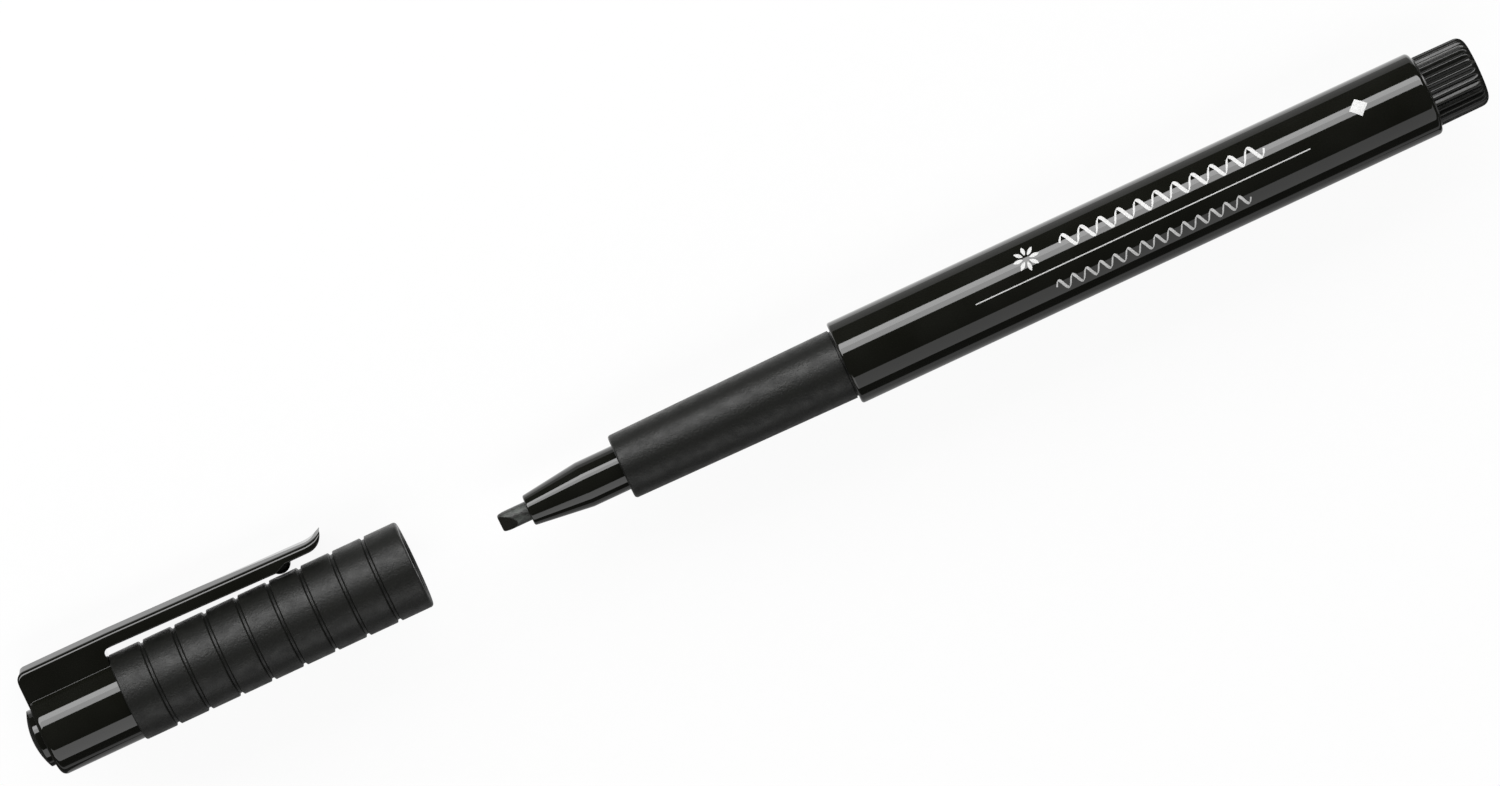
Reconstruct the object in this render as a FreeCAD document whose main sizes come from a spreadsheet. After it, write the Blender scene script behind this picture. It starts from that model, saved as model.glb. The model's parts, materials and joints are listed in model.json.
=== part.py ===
import FreeCAD, Part
import os
import re

import Sketcher
from FreeCAD import Rotation, Vector

# A calligraphy marker with its cap pulled off and lying in line ahead of the nib.
# Millimetres. X runs along the pen from the cap towards the rear plug, Z is up and Y is to the side.
# The origin is on the pen's axis at the barrel's front shoulder, where the cap stops when it is on.
# The surface that the marker lies on is one cap radius below the axis.

SIZES = [
    # barrel
    ("barrel_length", 80.2),
    ("barrel_diameter", 11.0),
    ("barrel_wall", 1.1),
    ("barrel_front_round", 0.35),
    ("barrel_rear_round", 0.6),
    ("barrel_rib_width", 0.8),
    ("barrel_rib_height", 0.8),
    ("barrel_rib_count", 4),
    ("barrel_rib_end_gap", 1.0),
    # rear plug
    ("plug_head_length", 7.0),
    ("plug_step", 0.835),
    ("plug_taper", 0.07),
    ("plug_rear_round", 1.2),
    ("plug_seat_length", 8.0),
    ("plug_rear_wall", 1.8),
    ("plug_fin_setback", 3.8),
    ("plug_fin_width", 0.8),
    ("plug_valley_count", 32),
    ("plug_valley_width", 0.84),
    ("plug_valley_depth", 0.32),
    ("plug_collar_width", 0.2),
    # grip section
    ("grip_length", 30.7),
    ("grip_step", 0.89),
    ("grip_taper", 0.335),
    ("grip_front_round", 0.4),
    ("grip_front_wall", 2.5),
    ("grip_seat_length", 8.0),
    ("grip_neck_width", 0.2),
    # nose
    ("nose_collar_length", 5.1),
    ("nose_cone_length", 7.7),
    ("nose_shoulder", 0.6),
    ("nose_tip_wall", 0.775),
    ("nose_tip_round", 0.25),
    ("nose_gap", 0.15),
    ("nose_seat_length", 9.0),
    ("nose_mouth_length", 1.5),
    ("nose_mouth_gap", 0.08),
    ("vent_count", 4),
    ("vent_width", 0.5),
    ("vent_depth", 0.35),
    # nib
    ("nib_width", 2.5),
    ("nib_exposed", 3.9),
    ("nib_bevel_length", 2.1),
    ("nib_edge_thickness", 0.35),
    ("nib_turn", -3.0),
    # ink reservoir
    ("wrap_thickness", 0.1),
    ("reservoir_fit", 0.05),
    ("reservoir_nose_gap", 1.2),
    ("nib_depth_in_reservoir", 8.0),
    ("breather_diameter", 1.2),
    ("breather_bore", 0.6),
    # cap
    ("cap_rest_gap", 11.8),
    ("cap_stop_gap", 0.05),
    ("cap_tip_room", 1.15),
    ("cap_grip_gap", 0.29),
    ("sleeve_wall", 0.9),
    ("sleeve_lip", 0.15),
    ("sleeve_lip_length", 1.0),
    ("sleeve_mouth_chamfer", 0.25),
    ("sleeve_mouth_round", 0.4),
    ("sleeve_socket_wall", 0.7),
    ("sleeve_socket_length", 8.5),
    ("groove_count", 8),
    ("groove_first", 4.5),
    ("groove_last", 4.65),
    ("groove_width", 0.65),
    ("groove_floor_width", 0.3),
    ("groove_depth", 0.33),
    ("groove_round", 0.12),
    ("dimple_half_width", 1.35),
    ("dimple_depth", 0.4),
    # crown
    ("crown_length", 11.4),
    ("crown_step", 0.325),
    ("crown_seat_wall", 0.45),
    ("crown_end_wall", 1.3),
    ("crown_end_round", 0.8),
    # end button
    ("button_step", 1.625),
    ("button_edge_height", 0.75),
    ("button_dome_height", 0.87),
    ("button_stem_diameter", 4.0),
    ("button_stem_length", 0.8),
    # inner cap
    ("liner_fit", 0.04),
    ("liner_wall", 0.8),
    ("liner_end_wall", 1.2),
    ("liner_setback", 1.1),
    ("liner_flange_width", 1.0),
    # clip, with heights above the sleeve
    ("clip_width", 5.0),
    ("clip_face_height", 3.05),
    ("clip_face_drop", 0.52),
    ("clip_gap_at_root", 1.23),
    ("clip_gap_at_ball", 0.78),
    ("clip_gap_past_ball", 1.42),
    ("clip_mouth_distance", 8.95),
    ("clip_root_overhang", 1.0),
    ("clip_root_seat_bite", 0.1),
    ("clip_root_end_round", 1.2),
    ("clip_slot_round", 0.6),
    ("clip_hinge_gap", 0.1),
    ("clip_ball_radius", 1.5),
    ("clip_ball_gap", 0.11),
    ("clip_ball_from_tip", 6.3),
    ("clip_flare_length", 2.6),
    ("clip_flare_rise", 0.74),
    ("clip_underside_curve", 2.3),
    ("clip_tip_corner", 1.0),
]

# Radii, each worked out from the barrel inwards or from the grip outwards.
BARREL_R = "(barrel_diameter / 2)"
BARREL_BORE_R = f"({BARREL_R} - barrel_wall)"
FILLER_SPACE_R = f"({BARREL_BORE_R} - barrel_rib_height)"
WRAP_R = f"({FILLER_SPACE_R} - reservoir_fit)"
RESERVOIR_R = f"({WRAP_R} - wrap_thickness)"
PLUG_FRONT_R = f"({BARREL_R} - plug_step)"
PLUG_REAR_R = f"({PLUG_FRONT_R} - plug_taper)"
GRIP_REAR_R = f"({BARREL_R} - grip_step)"
GRIP_FRONT_R = f"({GRIP_REAR_R} - grip_taper)"
NIB_R = "(nib_width / 2)"
BREATHER_OFFSET = f"(({NIB_R} + {RESERVOIR_R}) / 2)"
NOSE_COLLAR_R = f"({FILLER_SPACE_R} - nose_shoulder)"
NOSE_TIP_R = f"({NIB_R} + nose_tip_wall)"
SLEEVE_BORE_R = f"({GRIP_REAR_R} + cap_grip_gap)"
SLEEVE_R = f"({SLEEVE_BORE_R} + sleeve_wall)"
SOCKET_R = f"({SLEEVE_R} - sleeve_socket_wall)"
CROWN_R = f"({SLEEVE_R} - crown_step)"
CROWN_BORE_R = f"({SOCKET_R} - crown_seat_wall)"
BUTTON_R = f"({CROWN_R} - button_step)"
STEM_R = "(button_stem_diameter / 2)"
LINER_BORE_R = f"({NOSE_COLLAR_R} + liner_fit)"
LINER_R = f"({LINER_BORE_R} + liner_wall)"

# Lengths and places along the pen.
NOSE_LENGTH = "(nose_cone_length + nose_collar_length)"
NIB_TIP = f"(grip_length + {NOSE_LENGTH} + nib_exposed)"
NOSE_SHOULDER = f"({NOSE_LENGTH} + grip_front_wall)"
RESERVOIR_START = "(grip_length - grip_front_wall - nose_seat_length - reservoir_nose_gap)"
RESERVOIR_END = "(barrel_length - plug_seat_length + plug_fin_setback)"
RESERVOIR_LENGTH = f"({RESERVOIR_START} + {RESERVOIR_END})"
NIB_LENGTH = f"({NIB_TIP} - {RESERVOIR_START} + nib_depth_in_reservoir)"
LINER_END = f"({NIB_TIP} + cap_tip_room + liner_end_wall)"
LINER_LENGTH = f"({LINER_END} - grip_length - liner_setback)"
SLEEVE_LENGTH = f"({LINER_END} + crown_end_wall - cap_stop_gap - crown_length)"
SLEEVE_START = f"(-{NIB_TIP} - cap_rest_gap - {SLEEVE_LENGTH})"
CROWN_START = f"({SLEEVE_START} - crown_length)"

# The clip, with heights from the pen's axis and lengths from its root end or its arm's end.
CLIP_FACE = f"({SLEEVE_R} + clip_face_height)"
CLIP_ROOT_LENGTH = "(crown_length + clip_root_overhang)"
CLIP_ARM_LENGTH = f"({SLEEVE_LENGTH} - clip_mouth_distance - clip_root_overhang - clip_hinge_gap)"
CLIP_FLARE_START = f"({CLIP_ARM_LENGTH} - clip_flare_length)"
CLIP_BALL_PLACE = f"({CLIP_ARM_LENGTH} - clip_ball_from_tip)"
CLIP_FACE_AT_FLARE = f"({CLIP_FACE} - clip_face_drop)"
CLIP_TIP = f"({CLIP_FACE_AT_FLARE} + clip_flare_rise)"
CLIP_BALL_CENTRE = f"({SLEEVE_R} + clip_ball_gap + clip_ball_radius)"

# The marker rests on its cap and on the lower edge of the clip's root: the clip points to the side and down.
CLIP_SIDE = "(clip_width / 2)"
CLIP_REACH = f"sqrt({CLIP_FACE} * {CLIP_FACE} + {CLIP_SIDE} * {CLIP_SIDE})"
CLIP_TURN = f"(90 deg + asin({SLEEVE_R} / {CLIP_REACH}) - atan({CLIP_SIDE} / {CLIP_FACE}))"

CUT_PAST = 1.0  # how far a cutting profile reaches past the face that it cuts
BITE = 0.2  # how far an added rib or fin reaches into the wall that carries it
SAME = 1e-4  # two lengths nearer than this are the same

doc = FreeCAD.newDocument("calligraphy_marker")
sheet = doc.addObject("Spreadsheet::Sheet", "Sizes")
for row, (alias, value) in enumerate(SIZES, start=1):
    sheet.set(f"A{row}", alias.replace("_", " "))
    sheet.set(f"B{row}", str(value))
    sheet.setAlias(f"B{row}", alias)
doc.recompute()


def linked(formula):
    """The formula as an expression: each size's name (the words with an underscore) points at its cell."""
    return re.sub(r"[a-z]+(_[a-z]+)+", r"Sizes.\g<0>", formula)


def measure(formula):
    """The formula's value now, in millimetres, degrees or a plain count."""
    value = sheet.evalExpression(linked(formula))
    return float(getattr(value, "Value", value))


def bind(item, name, formula):
    """Tie one of the item's own values to the formula."""
    item.setExpression(name, linked(formula))


def new_body(node, start="0", turn=None):
    """One piece of the marker. Its own X starts at its end nearest the cap, `start` along the pen."""
    body = doc.addObject("PartDesign::Body", node)
    body.Label = node
    if turn is not None:
        body.Placement.Rotation = Rotation(Vector(-1, 0, 0), measure(turn))
        bind(body, "Placement.Rotation.Angle", turn)
    bind(body, "Placement.Base.x", start)
    return body


def origin_feature(body, role):
    return next(feature for feature in body.Origin.OriginFeatures if feature.Role == role)


def new_sketch(body, name, plane, offset="0"):
    sketch = body.newObject("Sketcher::SketchObject", f"{body.Name}_{name}")
    sketch.AttachmentSupport = (origin_feature(body, plane), "")
    sketch.MapMode = "FlatFace"
    bind(sketch, "AttachmentOffset.Base.z", offset)
    return sketch


def pin_point(sketch, line, end, across, up):
    """Fix one end of an edge at two formulas; a zero is held on the sketch's own axis."""
    for kind, formula, axis in (("DistanceX", across, -2), ("DistanceY", up, -1)):
        if formula == "0":
            sketch.addConstraint(Sketcher.Constraint("PointOnObject", line, end, axis))
        else:
            index = sketch.addConstraint(Sketcher.Constraint(kind, -1, 1, line, end, measure(formula)))
            bind(sketch, f"Constraints[{index}]", formula)


def arc_between(start, stop, radius):
    """The short arc from start to stop. A positive radius bulges to the left of the way it runs."""
    chord = stop - start
    left = Vector(-chord.y, chord.x, 0).normalize()
    side = 1 if radius > 0 else -1
    sagitta = abs(radius) - (radius**2 - chord.Length**2 / 4) ** 0.5
    return Part.Arc(start, (start + stop) / 2 + left * side * sagitta, stop)


def draw_outline(sketch, corners):
    """A closed outline. Each corner is (across, up), or (across, up, radius) where an arc leaves it."""
    points = [Vector(measure(corner[0]), measure(corner[1]), 0) for corner in corners]
    first = sketch.GeometryCount
    count = len(corners)
    for index, corner in enumerate(corners):
        start, stop = points[index], points[(index + 1) % count]
        if len(corner) == 2:
            sketch.addGeometry(Part.LineSegment(start, stop))
        else:
            sketch.addGeometry(arc_between(start, stop, measure(corner[2])))
    # an arc is stored anticlockwise, so its own start may be the outline's later end
    forward = [(sketch.getPoint(first + index, 1) - points[index]).Length < SAME for index in range(count)]
    starts = [1 if same_way else 2 for same_way in forward]
    ends = [2 if same_way else 1 for same_way in forward]
    for index, corner in enumerate(corners):
        edge = first + index
        after = first + (index + 1) % count
        joint = Sketcher.Constraint("Coincident", edge, ends[index], after, starts[(index + 1) % count])
        sketch.addConstraint(joint)
        pin_point(sketch, edge, starts[index], corner[0], corner[1])
        if len(corner) == 3:
            radius = corner[2].lstrip("-")
            place = sketch.addConstraint(Sketcher.Constraint("Radius", edge, measure(radius)))
            bind(sketch, f"Constraints[{place}]", radius)


def draw_circle(sketch, across, up, radius):
    centre = Vector(measure(across), measure(up), 0)
    edge = sketch.addGeometry(Part.Circle(centre, Vector(0, 0, 1), measure(radius)))
    pin_point(sketch, edge, 3, across, up)
    place = sketch.addConstraint(Sketcher.Constraint("Radius", edge, measure(radius)))
    bind(sketch, f"Constraints[{place}]", radius)


def volume_so_far(body):
    return body.Shape.Volume if body.Tip else 0.0


def recompute_and_check(feature, before, adds):
    """A feature that adds has to make the piece larger, and one that cuts has to make it smaller."""
    doc.recompute()
    change = feature.Shape.Volume - before
    if change == 0 or (change > 0) != adds:
        raise RuntimeError(f"{feature.Name} changed the volume by {change:.4f}")
    return feature


def spin(body, corners, kind="Revolution", name="turned"):
    """Turn an outline of (along, radius) corners about the piece's own X axis."""
    before = volume_so_far(body)
    sketch = new_sketch(body, f"{name}_outline", "XY_Plane")
    draw_outline(sketch, corners)
    feature = body.newObject(f"PartDesign::{kind}", f"{body.Name}_{name}")
    feature.Profile = sketch
    feature.ReferenceAxis = (sketch, ["H_Axis"])
    feature.Angle = 360
    return recompute_and_check(feature, before, kind == "Revolution")


def extrude(body, sketch, kind, length, name, both_ways=False, reverse=False):
    """Pad or Pocket a sketch."""
    before = volume_so_far(body)
    feature = body.newObject(f"PartDesign::{kind}", f"{body.Name}_{name}")
    feature.Profile = sketch
    feature.SideType = "Symmetric" if both_ways else "One side"
    feature.Reversed = reverse
    bind(feature, "Length", length)
    return recompute_and_check(feature, before, kind == "Pad")


def ball(body, kind, name, along, height, radius, lower_half=False):
    """Add or subtract a sphere centred over the piece's own X axis.

    The sphere's faces stay as they are cut, so that it may cross a rounded groove.
    """
    before = volume_so_far(body)
    sphere = body.newObject(f"PartDesign::{kind}Sphere", f"{body.Name}_{name}")
    sphere.Refine = False
    sphere.AttachmentSupport = (origin_feature(body, "XY_Plane"), "")
    sphere.MapMode = "FlatFace"
    if lower_half:
        sphere.Angle2 = 0
    bind(sphere, "Radius", radius)
    bind(sphere, "AttachmentOffset.Base.x", along)
    bind(sphere, "AttachmentOffset.Base.z", height)
    return recompute_and_check(sphere, before, kind == "Additive")


def ring_pattern(body, feature, count):
    pattern = body.newObject("PartDesign::PolarPattern", f"{feature.Name}_ring")
    pattern.Originals = [feature]
    pattern.Axis = (origin_feature(body, "X_Axis"), [""])
    pattern.Angle = 360
    bind(pattern, "Occurrences", count)
    body.Tip = pattern
    doc.recompute()


def round_edges(body, radius, name, wanted):
    """Fillet the edges that `wanted` picks out."""
    base = body.Tip
    names = [f"Edge{i}" for i, edge in enumerate(base.Shape.Edges, start=1) if wanted(edge)]
    if not names:
        raise RuntimeError(f"{body.Name} has no edge to round for {name}")
    fillet = body.newObject("PartDesign::Fillet", f"{body.Name}_{name}")
    fillet.Base = (base, names)
    bind(fillet, "Radius", radius)
    doc.recompute()


def hoop(along, radius):
    """Picks the circular edge at this place along the piece's axis."""
    x, r = measure(along), measure(radius)

    def wanted(edge):
        curve = edge.Curve
        if not isinstance(curve, Part.Circle):
            return False
        centre = curve.Center
        on_axis = abs(centre.y) < SAME and abs(centre.z) < SAME
        return on_axis and abs(centre.x - x) < SAME and abs(curve.Radius - r) < SAME

    return wanted


def tube(node, start, bore, radius, length):
    body = new_body(node, start)
    spin(body, [("0", bore), ("0", radius), (length, radius), (length, bore)])
    return body


def make_barrel():
    body = tube("barrel", "0", BARREL_BORE_R, BARREL_R, "barrel_length")
    round_edges(body, "barrel_front_round", "front_edge", hoop("0", BARREL_R))
    round_edges(body, "barrel_rear_round", "rear_edge", hoop("barrel_length", BARREL_R))
    # inner ribs keep the reservoir central and leave an air path round it
    sketch = new_sketch(body, "rib_section", "YZ_Plane", "grip_seat_length + barrel_rib_end_gap")
    side = "barrel_rib_width / 2"
    root = f"{BARREL_BORE_R} + {BITE}"
    top = FILLER_SPACE_R
    draw_outline(sketch, [(f"-({side})", top), (side, top), (side, root), (f"-({side})", root)])
    length = "barrel_length - plug_seat_length - grip_seat_length - 2 * barrel_rib_end_gap"
    rib = extrude(body, sketch, "Pad", length, "rib")
    ring_pattern(body, rib, "barrel_rib_count")
    return body


def make_rear_plug():
    body = new_body("rear_plug", "barrel_length - plug_seat_length")
    whole = "(plug_seat_length + plug_head_length)"
    floor = f"({whole} - plug_rear_wall)"
    spin(body, [
        ("0", FILLER_SPACE_R),
        ("0", BARREL_BORE_R),
        ("plug_seat_length", BARREL_BORE_R),
        ("plug_seat_length", PLUG_FRONT_R),
        (whole, PLUG_REAR_R),
        (whole, "0"),
        (floor, "0"),
        (floor, FILLER_SPACE_R),
    ])
    round_edges(body, "plug_rear_round", "rear_edge", hoop(whole, PLUG_REAR_R))
    # crossed fins in the hollow stop the reservoir
    thin, wide = "plug_fin_width / 2", f"{FILLER_SPACE_R} + {BITE}"
    for name, across, up in (("upright_fin", thin, wide), ("level_fin", wide, thin)):
        sketch = new_sketch(body, f"{name}_section", "YZ_Plane", "plug_fin_setback")
        draw_outline(sketch, [
            (f"-({across})", f"-({up})"),
            (across, f"-({up})"),
            (across, up),
            (f"-({across})", up),
        ])
        extrude(body, sketch, "Pad", f"{floor} - plug_fin_setback + {BITE}", name)
    # V-shaped valleys between the finger ribs
    sketch = new_sketch(body, "valley_section", "YZ_Plane", "plug_seat_length + plug_collar_width")
    edge = "plug_valley_width / 2"
    above = f"{PLUG_FRONT_R} + {CUT_PAST}"
    draw_outline(sketch, [
        ("0", f"{PLUG_FRONT_R} - plug_valley_depth"),
        (edge, PLUG_FRONT_R),
        (edge, above),
        (f"-({edge})", above),
        (f"-({edge})", PLUG_FRONT_R),
    ])
    length = f"plug_head_length - plug_collar_width + {CUT_PAST}"
    valley = extrude(body, sketch, "Pocket", length, "valley", reverse=True)
    ring_pattern(body, valley, "plug_valley_count")
    return body


def make_grip_section():
    body = new_body("grip_section", "-grip_length")
    hole = f"({NOSE_COLLAR_R} + nose_gap)"
    neck = "(grip_length - grip_neck_width)"
    end = "(grip_length + grip_seat_length)"
    spin(body, [
        ("0", hole),
        ("0", GRIP_FRONT_R),
        (neck, GRIP_REAR_R),
        (neck, BARREL_BORE_R),
        (end, BARREL_BORE_R),
        (end, FILLER_SPACE_R),
        ("grip_front_wall", FILLER_SPACE_R),
        ("grip_front_wall", hole),
    ])
    round_edges(body, "grip_front_round", "front_edge", hoop("0", GRIP_FRONT_R))
    return body


def make_nose_cone():
    body = new_body("nose_cone", f"-grip_length - {NOSE_LENGTH}")
    end = f"({NOSE_SHOULDER} + nose_seat_length)"
    mouth = f"({NIB_R} + nose_mouth_gap)"
    spin(body, [
        ("0", mouth),
        ("0", NOSE_TIP_R),
        ("nose_cone_length", NOSE_COLLAR_R),
        (NOSE_SHOULDER, NOSE_COLLAR_R),
        (NOSE_SHOULDER, FILLER_SPACE_R),
        (end, FILLER_SPACE_R),
        (end, NIB_R),
        ("nose_mouth_length", NIB_R),
        ("nose_mouth_length", mouth),
    ])
    round_edges(body, "nose_tip_round", "tip_edge", hoop("0", NOSE_TIP_R))
    # channels beside the nib let air in as ink goes out
    sketch = new_sketch(body, "vent_section", "YZ_Plane", "nose_mouth_length")
    side = "vent_width / 2"
    low = f"{NIB_R} - {BITE}"
    high = f"{NIB_R} + vent_depth"
    draw_outline(sketch, [(f"-({side})", low), (side, low), (side, high), (f"-({side})", high)])
    length = f"{end} - nose_mouth_length + {CUT_PAST}"
    vent = extrude(body, sketch, "Pocket", length, "vent", reverse=True)
    ring_pattern(body, vent, "vent_count")
    return body


def make_chisel_nib():
    body = new_body("chisel_nib", f"-{NIB_TIP}", "nib_turn")
    spin(body, [("0", "0"), ("0", NIB_R), (NIB_LENGTH, NIB_R), (NIB_LENGTH, "0")])
    # two bevels leave a thin square-cut edge across the rod
    sketch = new_sketch(body, "bevel_section", "XZ_Plane")
    above = f"{NIB_R} + {CUT_PAST}"
    draw_outline(sketch, [
        (f"-{CUT_PAST}", "nib_edge_thickness / 2"),
        ("0", "nib_edge_thickness / 2"),
        ("nib_bevel_length", NIB_R),
        ("nib_bevel_length", above),
        (f"-{CUT_PAST}", above),
    ])
    bevel = extrude(body, sketch, "Pocket", f"nib_width + {CUT_PAST}", "bevel", both_ways=True)
    mirror = body.newObject("PartDesign::Mirrored", "chisel_nib_other_bevel")
    mirror.Originals = [bevel]
    mirror.MirrorPlane = (origin_feature(body, "XY_Plane"), [""])
    body.Tip = mirror
    doc.recompute()
    return body


def make_ink_reservoir():
    body = new_body("ink_reservoir", f"-{RESERVOIR_START}")
    spin(body, [
        ("0", NIB_R),
        ("0", RESERVOIR_R),
        (RESERVOIR_LENGTH, RESERVOIR_R),
        (RESERVOIR_LENGTH, "0"),
        ("nib_depth_in_reservoir", "0"),
        ("nib_depth_in_reservoir", NIB_R),
    ])
    sketch = new_sketch(body, "breather_section", "YZ_Plane")
    draw_circle(sketch, "0", BREATHER_OFFSET, "breather_diameter / 2")
    extrude(body, sketch, "Pocket", f"{RESERVOIR_LENGTH} + {CUT_PAST}", "breather_hole", reverse=True)
    return body


def make_breather_tube():
    body = tube(
        "breather_tube", f"-{RESERVOIR_START}", "breather_bore / 2", "breather_diameter / 2", RESERVOIR_LENGTH
    )
    bind(body, "Placement.Base.z", BREATHER_OFFSET)
    return body


def make_cap_sleeve():
    body = new_body("cap_sleeve", SLEEVE_START, CLIP_TURN)
    lip = f"({SLEEVE_BORE_R} - sleeve_lip)"
    lip_start = f"({SLEEVE_LENGTH} - sleeve_lip_length)"
    spin(body, [
        ("0", SOCKET_R),
        ("0", SLEEVE_R),
        (SLEEVE_LENGTH, SLEEVE_R),
        (SLEEVE_LENGTH, f"{lip} + sleeve_mouth_chamfer"),
        (f"{SLEEVE_LENGTH} - sleeve_mouth_chamfer", lip),
        (lip_start, lip),
        (lip_start, SLEEVE_BORE_R),
        ("sleeve_socket_length", SLEEVE_BORE_R),
        ("sleeve_socket_length", SOCKET_R),
    ])
    round_edges(body, "sleeve_mouth_round", "mouth_edge", hoop(SLEEVE_LENGTH, SLEEVE_R))
    # ring grooves with sloping walls, evenly spaced between the first and the last
    near = "(groove_first - groove_width / 2)"
    far = "(groove_first + groove_width / 2)"
    floor = f"({SLEEVE_R} - groove_depth)"
    above = f"({SLEEVE_R} + {CUT_PAST})"
    groove = spin(body, [
        (near, above),
        (near, SLEEVE_R),
        ("groove_first - groove_floor_width / 2", floor),
        ("groove_first + groove_floor_width / 2", floor),
        (far, SLEEVE_R),
        (far, above),
    ], "Groove", "groove")
    pattern = body.newObject("PartDesign::LinearPattern", "cap_sleeve_grooves")
    pattern.Originals = [groove]
    pattern.Direction = (origin_feature(body, "X_Axis"), [""])
    bind(pattern, "Length", f"{SLEEVE_LENGTH} - groove_first - groove_last")
    bind(pattern, "Occurrences", "groove_count")
    body.Tip = pattern
    doc.recompute()
    radius = measure(SLEEVE_R)
    first = measure(near) - SAME
    last = measure(f"{SLEEVE_LENGTH} - groove_last + groove_width / 2") + SAME

    def shoulder(edge):
        curve = edge.Curve
        if not isinstance(curve, Part.Circle) or abs(curve.Radius - radius) > SAME:
            return False
        return first < curve.Center.x < last

    round_edges(body, "groove_round", "groove_shoulders", shoulder)
    # a hollow under the clip's ball
    dimple = "((dimple_half_width * dimple_half_width + dimple_depth * dimple_depth) / (2 * dimple_depth))"
    place = f"{CLIP_BALL_PLACE} + clip_root_overhang + clip_hinge_gap"
    ball(body, "Subtractive", "dimple", place, f"{SLEEVE_R} - dimple_depth + {dimple}", dimple)
    return body


def make_cap_crown():
    body = new_body("cap_crown", CROWN_START, CLIP_TURN)
    end = "(crown_length + sleeve_socket_length)"
    spin(body, [
        ("0", STEM_R),
        ("0", CROWN_R),
        ("crown_length", CROWN_R),
        ("crown_length", SOCKET_R),
        (end, SOCKET_R),
        (end, CROWN_BORE_R),
        ("crown_end_wall", CROWN_BORE_R),
        ("crown_end_wall", "0"),
        ("button_stem_length", "0"),
        ("button_stem_length", STEM_R),
    ])
    round_edges(body, "crown_end_round", "end_edge", hoop("0", CROWN_R))
    # the clip's root stands on the crown and reaches a little way over the sleeve
    sketch = new_sketch(body, "clip_root_side", "XZ_Plane")
    seat = f"sqrt({CROWN_R} * {CROWN_R} - {CLIP_SIDE} * {CLIP_SIDE}) - clip_root_seat_bite"
    under = f"({SLEEVE_R} + clip_gap_at_root)"
    slot_side = f"({under} - clip_slot_round)"
    slot_end = "(crown_length + clip_slot_round)"
    draw_outline(sketch, [
        ("0", seat),
        ("crown_length", seat),
        ("crown_length", slot_side, "clip_slot_round"),
        (slot_end, under),
        (CLIP_ROOT_LENGTH, under),
        (CLIP_ROOT_LENGTH, CLIP_FACE),
        ("clip_root_end_round", CLIP_FACE, "-clip_root_end_round"),
        ("0", f"{CLIP_FACE} - clip_root_end_round"),
    ])
    extrude(body, sketch, "Pad", "clip_width", "clip_root", both_ways=True)
    return body


def make_clip_arm():
    start = f"{SLEEVE_START} + clip_root_overhang + clip_hinge_gap"
    body = new_body("clip_arm", start, CLIP_TURN)
    sketch = new_sketch(body, "side", "XZ_Plane")
    past_ball = f"({SLEEVE_R} + clip_gap_past_ball)"
    curve_start = f"({CLIP_ARM_LENGTH} - clip_underside_curve)"
    rise = f"({CLIP_TIP} - {past_ball})"
    under_curve = f"((clip_underside_curve * clip_underside_curve + {rise} * {rise}) / (2 * {rise}))"
    flare_curve = (
        "((clip_flare_length * clip_flare_length + clip_flare_rise * clip_flare_rise)"
        " / (2 * clip_flare_rise))"
    )
    draw_outline(sketch, [
        ("0", f"{SLEEVE_R} + clip_gap_at_root"),
        (CLIP_BALL_PLACE, f"{SLEEVE_R} + clip_gap_at_ball"),
        (CLIP_BALL_PLACE, past_ball),
        (curve_start, past_ball, f"-{under_curve}"),
        (CLIP_ARM_LENGTH, CLIP_TIP, flare_curve),
        (CLIP_FLARE_START, CLIP_FACE_AT_FLARE),
        ("0", CLIP_FACE),
    ])
    extrude(body, sketch, "Pad", "clip_width", "arm", both_ways=True)
    # rounded corners at the free end
    sketch = new_sketch(body, "tip_corner_plan", "XY_Plane")
    inner = f"({CLIP_ARM_LENGTH} - clip_tip_corner)"
    side = f"({CLIP_SIDE} - clip_tip_corner)"
    past = f"({CLIP_ARM_LENGTH} + {CUT_PAST})"
    wide = f"({CLIP_SIDE} + {CUT_PAST})"
    draw_outline(sketch, [
        (inner, CLIP_SIDE, "clip_tip_corner"),
        (CLIP_ARM_LENGTH, side),
        (past, side),
        (past, wide),
        (inner, wide),
    ])
    corner = extrude(body, sketch, "Pocket", f"2 * {CLIP_TIP} + {CUT_PAST}", "tip_corner", both_ways=True)
    mirror = body.newObject("PartDesign::Mirrored", "clip_arm_other_tip_corner")
    mirror.Originals = [corner]
    mirror.MirrorPlane = (origin_feature(body, "XZ_Plane"), [""])
    body.Tip = mirror
    doc.recompute()
    # the half ball under the arm
    ball(body, "Additive", "ball", CLIP_BALL_PLACE, CLIP_BALL_CENTRE, "clip_ball_radius", lower_half=True)
    return body


def make_inner_cap():
    body = new_body("inner_cap", f"{CROWN_START} + crown_end_wall")
    flange = f"({LINER_LENGTH} - liner_flange_width)"
    spin(body, [
        ("0", "0"),
        ("0", LINER_R),
        (flange, LINER_R),
        (flange, CROWN_BORE_R),
        (LINER_LENGTH, CROWN_BORE_R),
        (LINER_LENGTH, LINER_BORE_R),
        ("liner_end_wall", LINER_BORE_R),
        ("liner_end_wall", "0"),
    ])
    return body


def make_end_button():
    edge = "(button_dome_height + button_edge_height)"
    stem = f"({edge} + button_stem_length)"
    body = new_body("end_button", f"{CROWN_START} - {edge}")
    dome = f"(({BUTTON_R} * {BUTTON_R} + button_dome_height * button_dome_height) / (2 * button_dome_height))"
    spin(body, [
        ("0", "0", dome),
        ("button_dome_height", BUTTON_R),
        (edge, BUTTON_R),
        (edge, STEM_R),
        (stem, STEM_R),
        (stem, "0"),
    ])
    return body


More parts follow.
